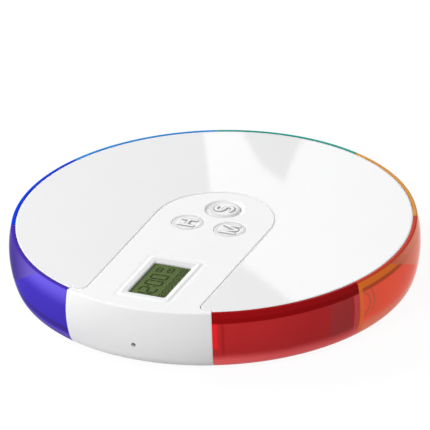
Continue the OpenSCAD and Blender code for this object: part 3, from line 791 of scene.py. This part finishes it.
def set_dish():
    """Rings from the panel's top over a soft edge into the dish round the set button, and through. Each
    step is a radius, given by how far it lies outside the dish's, and a depth."""
    hole = BUTTON_R + BUTTON_GAP - DISH_R
    steps = [(0.5, 0), (0.35, 0), (0.1, 0.04), (-0.06, 0.14), (-0.2, 0.32), (-0.45, DISH_H - 0.2)]
    steps += [(-0.65, DISH_H - 0.06), (-0.85, DISH_H), (hole, DISH_H + 0.1), (hole, PLATE)]
    return [ring(circle(BUTTONS["set"], DISH_R + out, 96), TOP_Z - down) for out, down in steps]


def button_hole(name):
    """Rings from the panel's top over a soft edge and straight down round a button."""
    loop = circle(BUTTONS[name], BUTTON_R + BUTTON_GAP, 96)
    return over_edge(loop, TOP_Z, COVER_Z, rounding=0.12, inward=-1, wide=0.4)


def lying(shape, height):
    """A shape along Z laid down so that its +Z points to the front, at a height."""
    points, faces = shape
    return np.stack([points[:, 0], -points[:, 2], points[:, 1] + height], 1), faces


def housing_mesh():
    """Front housing: the panel with its holes, the curved front wall with the sound hole and the buzzer's
    cup behind it, and the posts under the panel."""
    panel = plate([
        over_edge(panel_outline(0, PANEL_FRONT_R), TOP_Z, COVER_Z, rounding=0.16, wide=0.4),
        button_hole("hour"), button_hole("minute"), set_dish(), display_edge(),
    ])

    # The rim's inner round, which is four points, gives way to the band that the panel joins
    section = front_section()
    near = FRONT_EASE + 0.01
    inner = (section[:, 1] > TOP_Z - near) & (section[:, 0] < RIM_R + near)
    section[inner] = [[BAND_R, TOP_Z], [BAND_R, COVER_Z], [RIM_R, COVER_Z], [RIM_R, COVER_Z - 0.3]]
    wall = turned(sweep(section, HALF - SEAM_A), FRONT_A)
    posts = [tube(polar(*place), *SCREW_POST, COVER_Z + OVERLAP) for place in WALL_POSTS]
    posts += [tube(place, *BOARD_POST, COVER_Z + OVERLAP) for place in BOARD_POSTS]
    cup = lying(tube((0, 0), *CUP, BODY_R - WALL - 0.3), BUZZER_Z)

    # Sound hole: how much wider each ring is than the hole, and how far outside the wall it lies
    bore = [(0, -4), (0, -0.12), (0.15, 0.02), (0.2, 1)]
    hole = loft([ring(circle((0, 0), SOUND_R + wider, 24), BODY_R + out) for wider, out in bore])
    hole = lying(hole, BUZZER_Z)
    wall, panel, hole, rest = (as_mesh("part", shape) for shape in (wall, panel, hole, joined(*posts, cup)))
    return combined(wall, ("UNION", panel), ("UNION", rest), ("DIFFERENCE", hole))


def cap_mesh(name):
    """Button cap: its flange, a shoulder that closes most of the gap round it, a disc whose upper edge is a
    quarter of an ellipse, and a shallow hollow on top, which fades with the square of the radius."""
    low = corners(name + "_button")[0][2]
    ease, drop, bare = CAP_EDGE[name]
    flange, shoulder = BUTTON_R + FLANGE_W, BUTTON_R + BUTTON_GAP - SHOULDER_GAP
    step_z = CAP_TOP - drop - bare
    steps = [(flange, low), (flange, low + FLANGE_T), (shoulder, low + FLANGE_T)]
    steps += [(shoulder, step_z), (BUTTON_R, step_z)]
    steps += [(BUTTON_R - inset, CAP_TOP - down) for down, inset in quarter(drop, ease, 8)]
    share = np.linspace(0.98 - ease / BUTTON_R, 0.05, 10)
    steps += [(BUTTON_R * s, CAP_TOP - CAP_HOLLOW * (1 - s * s)) for s in share]
    return as_mesh(name, loft([ring(circle(BUTTONS[name], r, 96), z) for r, z in steps]))


def stroke(path, width, low, high):
    """A raised line along a path of points: a flat-topped section with sloping sides and eased edges is
    carried along it and narrows to a half circle at both ends."""
    path = np.asarray(path, float)
    run = np.concatenate([[0], np.cumsum(np.linalg.norm(np.diff(path, axis=0), axis=1))])
    half = width / 2
    cap = half * (1 - np.cos(np.radians(np.linspace(0, 90, 6))))
    stops = np.concatenate([cap, np.linspace(half, run[-1] - half, 20)[1:-1], run[-1] - cap[::-1]])
    path = np.stack([np.interp(stops, run, path[:, k]) for k in (0, 1)], 1)
    along = np.gradient(path, axis=0)
    along /= np.linalg.norm(along, axis=1)[:, None]
    side = np.stack([-along[:, 1], along[:, 0]], 1)
    near = np.clip(np.minimum(stops, run[-1] - stops) / half, 0, 1)
    narrow = np.sqrt(np.clip(1 - (1 - near) ** 2, 0.02, 1))

    # Half of the section: how far its points lie from the line, and how high
    reach = np.array([half + 0.8, half + 0.06, half - 0.04, half - 0.14])
    rise = np.array([low, high - 0.07, high - 0.02, high])
    reach, rise = np.concatenate([reach, -reach[::-1]]), np.concatenate([rise, rise[::-1]])
    flat = path[:, None] + (reach * narrow[:, None])[..., None] * side[:, None]
    return loft(np.concatenate([flat, np.broadcast_to(rise[:, None], flat.shape[:2] + (1,))], 2))


def letter_paths(name):
    """Lines of a button's letter about its own centre: H and M from straight lines, S from two arcs."""
    tall, bowl = 3.0, 1.45
    if name == "set":
        upper = arc((0, bowl), bowl, 30, 270, 20)
        lower = arc((0, -bowl), bowl, 90, -150, 20)
        return [np.concatenate([upper[1:], lower[1:]]) * (1.25, 1)]
    wide = {"hour": 1.95, "minute": 2.5}[name]
    lines = [[(-wide, -tall), (-wide, tall)], [(wide, -tall), (wide, tall)]]
    if name == "hour":
        return lines + [[(-wide, 0), (wide, 0)]]
    return lines + [[(-wide, tall), (0, -tall)], [(wide, tall), (0, -tall)]]


def letter_mesh(name):
    """Raised letter whose upright points to -X. Each next stroke is a hair lower, so that no two tops
    share a plane."""
    shapes = []
    for number, path in enumerate(letter_paths(name)):
        line = BUTTONS[name] + np.array([(-y, x) for x, y in path])
        shapes.append(stroke(line, LETTER_W, LETTER_LOW, LETTER_TOP - 0.01 * number))
    return as_mesh(name + "_letter", joined(*shapes))


def lens_mesh():
    """Window over the display, with eased edges. It is a thin skin, because the display is drawn where it
    appears through the window: looked at from the side, a clear plate hides most of its own depth."""
    loop = rounded_box((0, LCD_Y), FILM, WINDOW_CORNER, 9)
    return as_mesh("lens", plate([over_edge(loop, LENS_TOP, FILM_Z + 0.06, rounding=0.04, low=0.04)]))


def glass_mesh():
    """Display cell: the glass, and its front film, which fills the window and lies where it appears to."""
    low, high = corners("display_glass")
    size = (high - low)[:2]
    steps = [(size - 0.4, low[2]), (size, low[2] + 0.1), (size, high[2] - 0.1), (size - 0.2, high[2])]
    steps += [(FILM, high[2]), (FILM, FILM_Z)]
    rings = [ring(rounded_box((0, LCD_Y), box, WINDOW_CORNER, 9), z) for box, z in steps]
    return as_mesh("glass", loft(rings))


def segment(start, end, width):
    """Outline of a display segment: a bar between two points with pointed ends."""
    start, end = np.array(start, float), np.array(end, float)
    along = (end - start) / np.linalg.norm(end - start)
    side = np.array([-along[1], along[0]]) * width / 2
    in_start, in_end = start + along * width / 2, end - along * width / 2
    return np.array([start, in_start - side, in_end - side, end, in_end + side, in_start + side])


def digit(value, width=2.9, height=5.6, bar=0.72):
    """Segments of a seven-segment digit about its centre."""
    w, h = width / 2, height / 2
    ends = {
        "a": [(-w, h), (w, h)], "b": [(w, h), (w, 0)], "c": [(w, 0), (w, -h)], "d": [(-w, -h), (w, -h)],
        "e": [(-w, -h), (-w, 0)], "f": [(-w, 0), (-w, h)], "g": [(-w, 0), (w, 0)],
    }
    lit = {0: "abcdef", 1: "bc", 2: "abged"}[value]
    return [segment(*ends[name], bar) for name in lit]


def box_lines(x, y, half_w, width, uprights, half_h=0.9):
    """Bars that draw a small box about a point, with uprights at shares of its half width."""
    across = [segment((x - half_w, y + d), (x + half_w, y + d), width) for d in (-half_h, half_h)]
    places = [x + half_w * share for share in uprights]
    return across + [segment((place, y - half_h), (place, y + half_h), width) for place in places]


def mark_outlines():
    """Outlines of what the display shows, with x along its text and y upwards: the hour 12:00, two small
    boxed signs after it, and a row of seven small boxes for the days."""
    time_y, days_y, day_pitch = 1.4, -4.5, 3.0
    shapes = []
    for value, x in ((1, -10.6), (2, -6.6), (0, -1.6), (0, 2.7)):
        shapes += [outline + (x, time_y) for outline in digit(value)]
    shapes += [circle((-4.2, time_y + y), 0.36, 12) for y in (-1.1, 1.1)]
    for x, y in ((7.5, 3.4), (8.1, -0.4)):
        shapes += box_lines(x, y, 1.4, 0.5, (-1, 0, 1))
    for day in range(7):
        x = (day - 3) * day_pitch
        shapes += box_lines(x, days_y, 1.05, 0.35, (-1, 1))
        shapes.append(segment((x - 0.5, days_y), (x + 0.5, days_y), 0.5))
    return shapes


def marks_mesh():
    """The display's marks, as thin solids on its film, reading along +Y."""
    shapes = []
    for outline in mark_outlines():
        flat = np.stack([-outline[:, 1], outline[:, 0] + LCD_Y], 1)
        shapes.append(loft([ring(flat, FILM_Z - 0.005), ring(flat, FILM_Z + 0.02)]))
    return as_mesh("marks", joined(*shapes))


PANEL_WHITE = srgb(240, 240, 241)
gloss_white = moulded("gloss_white", srgb(232, 232, 233), 0.03, grain=0.004, ior=1.46)

# Painted shade, a little greyer, on the slope behind the display: its low and high corner and its colour
slope_low, slope_high = LCD_Y + float(WINDOW[1]) / 2, LCD_Y + float(MOUTH[1]) / 2 - 0.3
SLOPE_SHADE = (-7.2, slope_low), (7.2, slope_high), srgb(219, 219, 220)
satin_white = moulded("satin_white", PANEL_WHITE, 0.34, ior=1.46, patch=SLOPE_SHADE)
# The letters' grey sides are painted shade
letter_white = lettered("letter_white", PANEL_WHITE, srgb(158, 158, 160))
base_white = moulded("base_white", srgb(226, 226, 227), 0.45, grain=0.03)

# Screen colours of each drawer: main, deep, dusk, pale, glow, rim zone and top face. Deep is a random tone
# and painted shade, dusk painted shade, pale and glow painted light, and the rim zone a painted tone,
# lighter on the purple drawer and deeper on the rest
TINT_AND_PAINTED_LIGHT_TONES = {
    "red": [(190, 44, 46), (140, 4, 8), (166, 54, 56), (248, 104, 106),
        (232, 32, 40), (150, 10, 15), (146, 8, 14)],
    "orange": [(252, 92, 68), (178, 72, 42), (184, 88, 70), (230, 132, 108),
        (220, 112, 50), (214, 108, 40), (172, 52, 36)],
    "yellow": [(222, 150, 44), (202, 120, 22), (190, 126, 42), (242, 204, 120),
        (244, 178, 46), (206, 132, 26), (196, 132, 44)],
    "green": [(14, 160, 146), (4, 134, 122), (24, 126, 116), (106, 206, 196),
        (30, 192, 176), (4, 150, 138), (0, 138, 126)],
    "light_blue": [(16, 122, 214), (0, 98, 198), (22, 96, 172), (100, 176, 230),
        (40, 160, 242), (0, 106, 208), (0, 124, 196)],
    "blue": [(6, 56, 226), (0, 38, 208), (18, 54, 170), (90, 128, 236),
        (30, 94, 252), (0, 50, 228), (4, 54, 196)],
    "purple": [(66, 52, 176), (52, 38, 160), (62, 44, 116), (104, 88, 180),
        (76, 56, 206), (98, 84, 206), (66, 46, 150)],
}

# Zone, low, sheen, shares and light of each drawer's painted light and shade, as in tinted, and then its
# refractive index. The four drawers at the back share one look
BACK_LOOK = [(2, 3.6, 0.3), (14.6, 18.6), (0, 0, 0), (0.7, 0, 0, 0.7, 3.5, 12.6), 0.2]
LOOKS = {
    "red": [(1.9, 3.6, 0.25), (14.4, 18.4), (0, 0, 0), (1, 0, 0, 1, 3.5, 12.6), 0.17, 1.12],
    "orange": [(2.5, 3.9, 0.25), (13.2, 17.6), (4.67, 0.485, 0.8), (0, 0.8, 0, 0.75, 2, 18), 0.34, 1.08],
    "yellow": [*BACK_LOOK, 1.12],
    "green": [*BACK_LOOK, 1.12],
    "light_blue": [*BACK_LOOK, 1.12],
    "blue": [*BACK_LOOK, 1.06],
    "purple": [(4, 4, 3), (16, 17.2), (6.6, -0.57, 0.85), (0, 0, 0.7, 0, 1, 2), 0.16, 1.012],
}

drawer = drawer_mesh()
for colour, degrees in DRAWERS.items():
    mesh = drawer.copy()
    points = np.zeros(len(mesh.vertices) * 3, np.float32)
    mesh.vertices.foreach_get("co", points)
    points = turned((points.reshape(-1, 3), None), degrees)[0]
    mesh.vertices.foreach_set("co", points.astype(np.float32).ravel())
    mesh.update()
    paint = tinted(colour + "_tint", degrees, TINT_AND_PAINTED_LIGHT_TONES[colour], *LOOKS[colour])
    body = colour + "_drawer"
    show(colour + "_tray", mesh, paint, body, [body])

show("cover", cover_mesh(), gloss_white, stands_for=["top_cover"])
show("panel", housing_mesh(), satin_white, stands_for=["front_housing"])
for name, centre in BUTTONS.items():
    body = name + "_button"
    white = ringed(name + "_white", centre, PANEL_WHITE, srgb(206, 206, 207))
    show(name + "_cap", cap_mesh(name), white, body, [body])
    show(name + "_letter", letter_mesh(name), letter_white, body)
show("lens", lens_mesh(), clear("clear_lens"), stands_for=["display_lens"])
green = display_green("display_green")
show("display_cell", glass_mesh(), green, stands_for=["display_glass"])
marks = moulded("display_marks", srgb(46, 56, 27), 0.5, ior=1.08)
show("display_marks", marks_mesh(), marks)


def dress(paint, *names, bevel=None):
    """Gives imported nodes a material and, where named, eased edges of a width in millimetres."""
    for name in names:
        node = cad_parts[name]
        node.data.materials.clear()
        node.data.materials.append(paint)
        if bevel:
            weld = node.modifiers.new("weld", "WELD")
            weld.merge_threshold = 1e-6
            ease = node.modifiers.new("ease", "BEVEL")
            ease.width, ease.segments, ease.limit_method = bevel * MM, 2, "ANGLE"
            ease.angle_limit = math.radians(50)


steel = metal("steel", srgb(200, 200, 204), 0.3)
brass = metal("contact_brass", srgb(214, 190, 120), 0.32, (6, 0.4, 0.4))
dress(base_white, "base_shell", "display_frame")
dress(moulded("door_white", srgb(222, 222, 223), 0.38, grain=0.04), "battery_door", bevel=0.15)
dress(moulded("rubber", srgb(196, 196, 196), 0.7, grain=0.12, cloudy=0.1), "rubber_feet", bevel=0.2)
dress(moulded("switch_black", srgb(38, 38, 40), 0.4, cloudy=0.3), "switch_bodies", "buzzer", bevel=0.15)
plungers = [name + "_switch_plunger" for name in BUTTONS]
dress(moulded("plunger_black", srgb(52, 50, 50), 0.35, cloudy=0.3), *plungers)
dress(striped("contact_strip", srgb(232, 206, 198), srgb(40, 38, 38), 0.25), "contact_strips")
dress(circuit_board("solder_mask"), "main_board")
dress(moulded("resin_black", srgb(24, 24, 26), 0.25, grain=0.15, cloudy=0.4), "controller_chip")
dress(striped("ceramic", srgb(196, 178, 148), srgb(206, 206, 206), 0.6, 0.7), "board_parts")
dress(striped("wire_cover", srgb(170, 30, 28), srgb(34, 32, 32), 3.0), "buzzer_wires", "battery_wires")
dress(steel, "clock_crystal", "coin_cell", "cover_screws", "housing_screws", "board_screws")
dress(brass, "cell_top_contact", "cell_side_contact")


def make_camera(azimuth, elevation, roll, distance, aim, lens):
    """Camera on a long lens. It looks at a point of the rim plane that lies right and up of the centre by
    aim. Distance and aim are in radii of that plane's edge. It gives back the camera's place."""
    a, e, r = (math.radians(angle) for angle in (azimuth, elevation, roll))
    back = Vector((math.sin(a) * math.cos(e), -math.cos(a) * math.cos(e), math.sin(e)))
    right = Vector((math.cos(a), math.sin(a), 0))
    up = back.cross(right)
    data = bpy.data.cameras.new("camera")
    data.lens, data.sensor_width, data.clip_start, data.clip_end = lens, 36, 0.1, 20
    camera = placed("camera", data)
    reach = TOP_EDGE_R * MM
    camera.location = Vector((0, 0, TOP_Z * MM)) + (right * aim[0] + up * aim[1] + back * distance) * reach
    axes = Matrix((right * math.cos(r) - up * math.sin(r), up * math.cos(r) + right * math.sin(r), back))
    camera.rotation_mode = "QUATERNION"
    camera.rotation_quaternion = axes.transposed().to_quaternion()
    bpy.context.scene.camera = camera
    return camera.location.copy()


def stage_mesh(name, points, material):
    """A flat piece of the studio, which is one face through points in metres, with a material."""
    mesh = bpy.data.meshes.new(name)
    mesh.from_pydata(points, [], [list(range(len(points)))])
    mesh.materials.append(material)
    piece = placed(name, mesh)
    return piece


def make_floor(half=1.5, whiten=0.85):
    """Pale floor. A camera sees it partly as plain white, so that the object's shadow stays faint."""
    nodes = Nodes(bpy.data.materials.new("floor"))
    plain = nodes.node("BsdfDiffuse", inputs={"Color": srgb(190, 190, 190)})
    white = nodes.node("Emission", inputs={"Strength": 1.1})
    inputs = {0: nodes.seen() * whiten, 1: plain.outputs[0], 2: white.outputs[0]}
    mix = nodes.node("MixShader", inputs=inputs)
    nodes.node("OutputMaterial", inputs={"Surface": mix.outputs[0]})
    square = [(-half, -half, 0), (half, -half, 0), (half, half, 0), (-half, half, 0)]
    stage_mesh("floor", square, nodes.owner)


def make_card(camera, outline, height, strength):
    """White card overhead that only gloss reflects. Its outline is given where its reflection lies on the
    cover, and follows the lines from the camera's mirror image through those points."""
    nodes = Nodes(bpy.data.materials.new("card"))
    glow = nodes.node("Emission", inputs={"Strength": strength})
    nodes.node("OutputMaterial", inputs={"Surface": glow.outputs[0]})
    plane = TOP_Z * MM
    mirrored = np.array([camera.x, camera.y, 2 * plane - camera.z])
    points = np.column_stack([np.array(outline) * MM, np.full(len(outline), plane)])
    points += (points - mirrored) * height / (plane - mirrored[2])
    card = stage_mesh("card", points.tolist(), nodes.owner)
    for kind in ("camera", "diffuse", "shadow", "transmission", "volume_scatter"):
        setattr(card, "visible_" + kind, False)


def make_lamp(name, place, size, power):
    """Round soft lamp that points at the object."""
    data = bpy.data.lights.new(name, "AREA")
    data.shape, data.size, data.energy = "DISK", size, power
    lamp = placed(name, data)
    lamp.location = place
    lamp.rotation_euler = (-Vector(place)).to_track_quat("-Z", "Y").to_euler()
    lamp.visible_glossy = False


def make_world(name, fill):
    """White surroundings for the camera, gloss and glass, and a fill light of a strength for the rest."""
    nodes = Nodes(bpy.data.worlds.new(name))
    bpy.context.scene.world = nodes.owner
    sky = nodes.node("Background", inputs={"Strength": nodes.seen() * (1 - fill) + fill})
    nodes.node("OutputWorld", inputs={"Surface": sky.outputs[0]})


place = make_camera(
    azimuth=24.13, elevation=26.92, roll=2.015, distance=50, aim=(0.00534, 0.02455), lens=850
)
make_floor()
CARD = [(-35, 71), (-8, 16), (10, -18), (62, -56), (95, -45), (95, 85)]
CARD += [(4, 85), (5, 60), (11, 33), (-1, 42), (-19, 66), (-24, 78)]
make_card(place, CARD, height=0.2, strength=2.2)
make_world("studio", fill=0.52)
make_lamp("key", (-0.96, 0.11, 0.69), size=0.35, power=9)
make_lamp("fill", (-0.3, -0.95, 0.72), size=0.6, power=7.3)
bpy.context.scene.view_settings.view_transform = "Standard"
